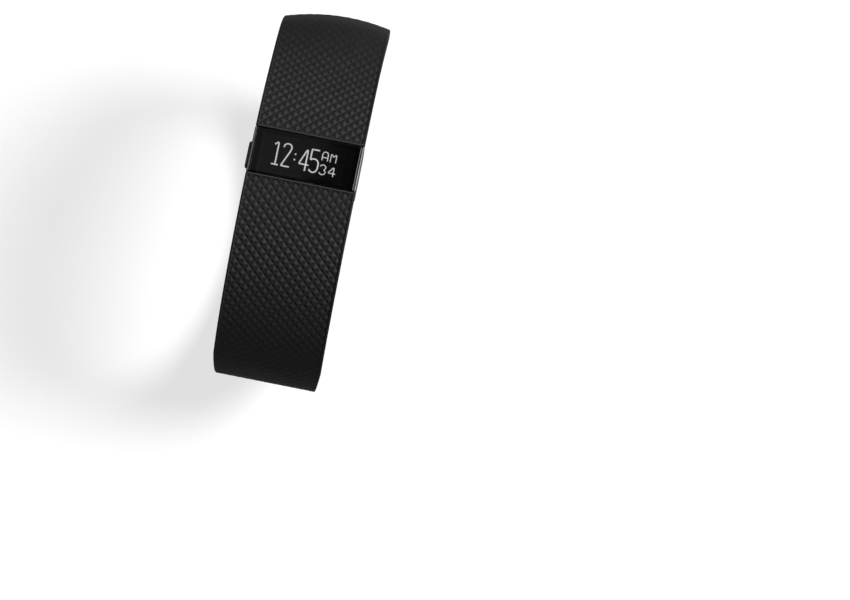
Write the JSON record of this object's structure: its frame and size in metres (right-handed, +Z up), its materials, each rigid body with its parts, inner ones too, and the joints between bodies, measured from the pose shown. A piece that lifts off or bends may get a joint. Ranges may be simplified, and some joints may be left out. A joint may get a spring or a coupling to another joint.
{
  "type": "fitness tracker band",
  "caption": "Closed wrist band of knurled elastomer with a flat gloss display window across its width, a side button, a sealed tracker case inside and a peg clasp that peels open.",
  "frame": {"origin": "centre of the clasp plate's underside, on the floor the closed loop stands on", "axes": "+X across the band, to the right of the readout; +Y round the wrist, towards the top of the readout; +Z up, out of the display"},
  "size_m": [0.0216, 0.0723, 0.0572],
  "materials": {
    "strap": "matt elastomer with a diamond knurl",
    "clasp_metal": "brushed",
    "peg_metal": "satin",
    "case": "fine grain",
    "cover": "satin",
    "seal": "matt",
    "screw": "plain",
    "window": "high gloss, dark tint",
    "trim": "polished",
    "panel": "smooth",
    "foam": "open foam",
    "ribbon": "film",
    "socket": "moulded",
    "board": "solder mask",
    "shield": "tinned",
    "chip": "moulded",
    "antenna": "foil",
    "battery": "pouch foil",
    "lead": "film",
    "motor_metal": "pressed",
    "rotor_weight": "sintered",
    "contact": "gold plated",
    "carrier": "moulded",
    "button": "satin",
    "switch": "moulded"
  },
  "bodies": {
    "tracker": {"strap_upper": "strap", "strap_lower": "strap", "case_body": "case", "back_cover": "cover", "back_gasket": "seal", "back_screws": "screw", "window_lens": "window", "window_gasket": "seal", "side_trim_left": "trim", "side_trim_right": "trim", "display_panel": "panel", "display_cushion": "foam", "display_ribbon": "ribbon", "display_connector": "socket", "main_board": "board", "board_shield": "shield", "board_chips": "chip", "antenna_strip": "antenna", "battery_cell": "battery", "battery_pad": "foam", "battery_leads": "lead", "motor_can": "motor_metal", "motor_base": "motor_metal", "motor_shaft": "motor_metal", "motor_pad": "foam", "contact_carrier": "carrier", "charging_contacts": "contact", "button_seal": "seal", "button_switch": "switch"},
    "clasp_end": {"strap_clasp_end": "strap", "clasp_plate": "clasp_metal", "clasp_pegs": "peg_metal"},
    "button": {"button_cap": "button", "button_stem": "peg_metal", "button_clip": "peg_metal", "switch_plunger": "chip"},
    "rotor": {"motor_rotor": "rotor_weight"}
  },
  "joints": [
    {"name": "clasp_peel", "type": "hinge", "parent": "tracker", "child": "clasp_end", "pos_m": [0, 0.02351, 0.00745], "axis": [1, 0, 0], "range_deg": [0, 60], "stiffness_Nm_per_rad": 0.02},
    {"name": "button_press", "type": "slide", "parent": "tracker", "child": "button", "axis": [1, 0, 0], "range_m": [0, 0.0004], "stiffness_N_per_m": 1000},
    {"name": "motor_spin", "type": "hinge", "parent": "tracker", "child": "rotor", "pos_m": [0, -0.01393, 0.05053], "axis": [0, -0.3876, 0.9218], "continuous": true}
  ]
}
